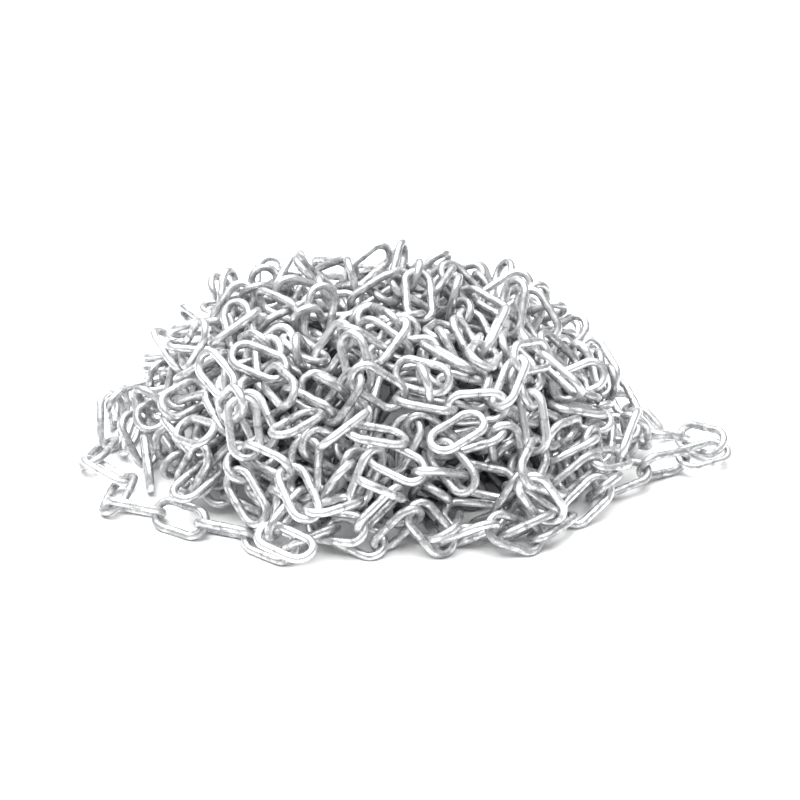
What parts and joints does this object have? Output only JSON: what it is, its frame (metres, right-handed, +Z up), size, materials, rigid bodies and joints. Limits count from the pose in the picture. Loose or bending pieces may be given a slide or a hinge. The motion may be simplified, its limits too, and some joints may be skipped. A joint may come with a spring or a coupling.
{
  "type": "chain heap",
  "caption": "Loose heap of welded steel link chain, tipped out on a level floor, with free chain ends whose links take a hook or shackle.",
  "frame": {"origin": "middle of the heap's plan at floor level", "axes": "+X along the heap's longer side, +Y from its front to its back, +Z up from the floor"},
  "size_m": [0.3442, 0.2886, 0.0946],
  "materials": {
    "galvanised_steel": "hot-dip galvanised, satin, mottled pale grey",
    "hidden_steel": "galvanised links in shade"
  },
  "bodies": {
    "root": {"chain_run_01": "galvanised_steel", "chain_run_02": "galvanised_steel", "chain_run_03": "galvanised_steel", "chain_run_04": "galvanised_steel", "chain_run_05": "galvanised_steel", "chain_run_06": "galvanised_steel", "chain_run_09": "galvanised_steel", "chain_run_10": "galvanised_steel", "chain_run_11": "galvanised_steel", "chain_run_12": "galvanised_steel", "chain_run_15": "galvanised_steel", "chain_run_16": "galvanised_steel", "chain_run_17": "galvanised_steel", "chain_run_19": "galvanised_steel", "chain_run_20": "galvanised_steel", "chain_run_21": "galvanised_steel", "chain_run_23": "galvanised_steel", "chain_run_24": "galvanised_steel", "chain_run_25": "galvanised_steel", "chain_run_28": "galvanised_steel", "chain_run_29": "galvanised_steel", "chain_run_30": "galvanised_steel", "chain_run_31": "galvanised_steel", "chain_run_33": "galvanised_steel", "chain_run_34": "galvanised_steel", "chain_run_35": "galvanised_steel", "chain_run_37": "galvanised_steel", "chain_run_38": "galvanised_steel", "chain_run_40": "galvanised_steel", "chain_run_41": "galvanised_steel", "chain_run_43": "galvanised_steel", "chain_run_44": "galvanised_steel", "chain_run_45": "galvanised_steel", "chain_run_47": "galvanised_steel", "chain_run_48": "galvanised_steel", "chain_run_49": "galvanised_steel", "chain_run_51": "galvanised_steel", "chain_run_52": "galvanised_steel", "chain_run_53": "galvanised_steel", "chain_run_55": "galvanised_steel", "chain_run_56": "galvanised_steel", "end_link_07": "galvanised_steel", "end_link_08": "galvanised_steel", "end_link_13": "galvanised_steel", "end_link_14": "galvanised_steel", "end_link_18": "galvanised_steel", "end_link_22": "galvanised_steel", "end_link_26": "galvanised_steel", "end_link_27": "galvanised_steel", "end_link_32": "galvanised_steel", "end_link_36": "galvanised_steel", "end_link_39": "galvanised_steel", "end_link_42": "galvanised_steel", "end_link_46": "galvanised_steel", "end_link_50": "galvanised_steel", "end_link_54": "galvanised_steel", "end_link_57": "galvanised_steel", "end_link_58": "galvanised_steel", "mound_core": "hidden_steel"}
  },
  "joints": []
}
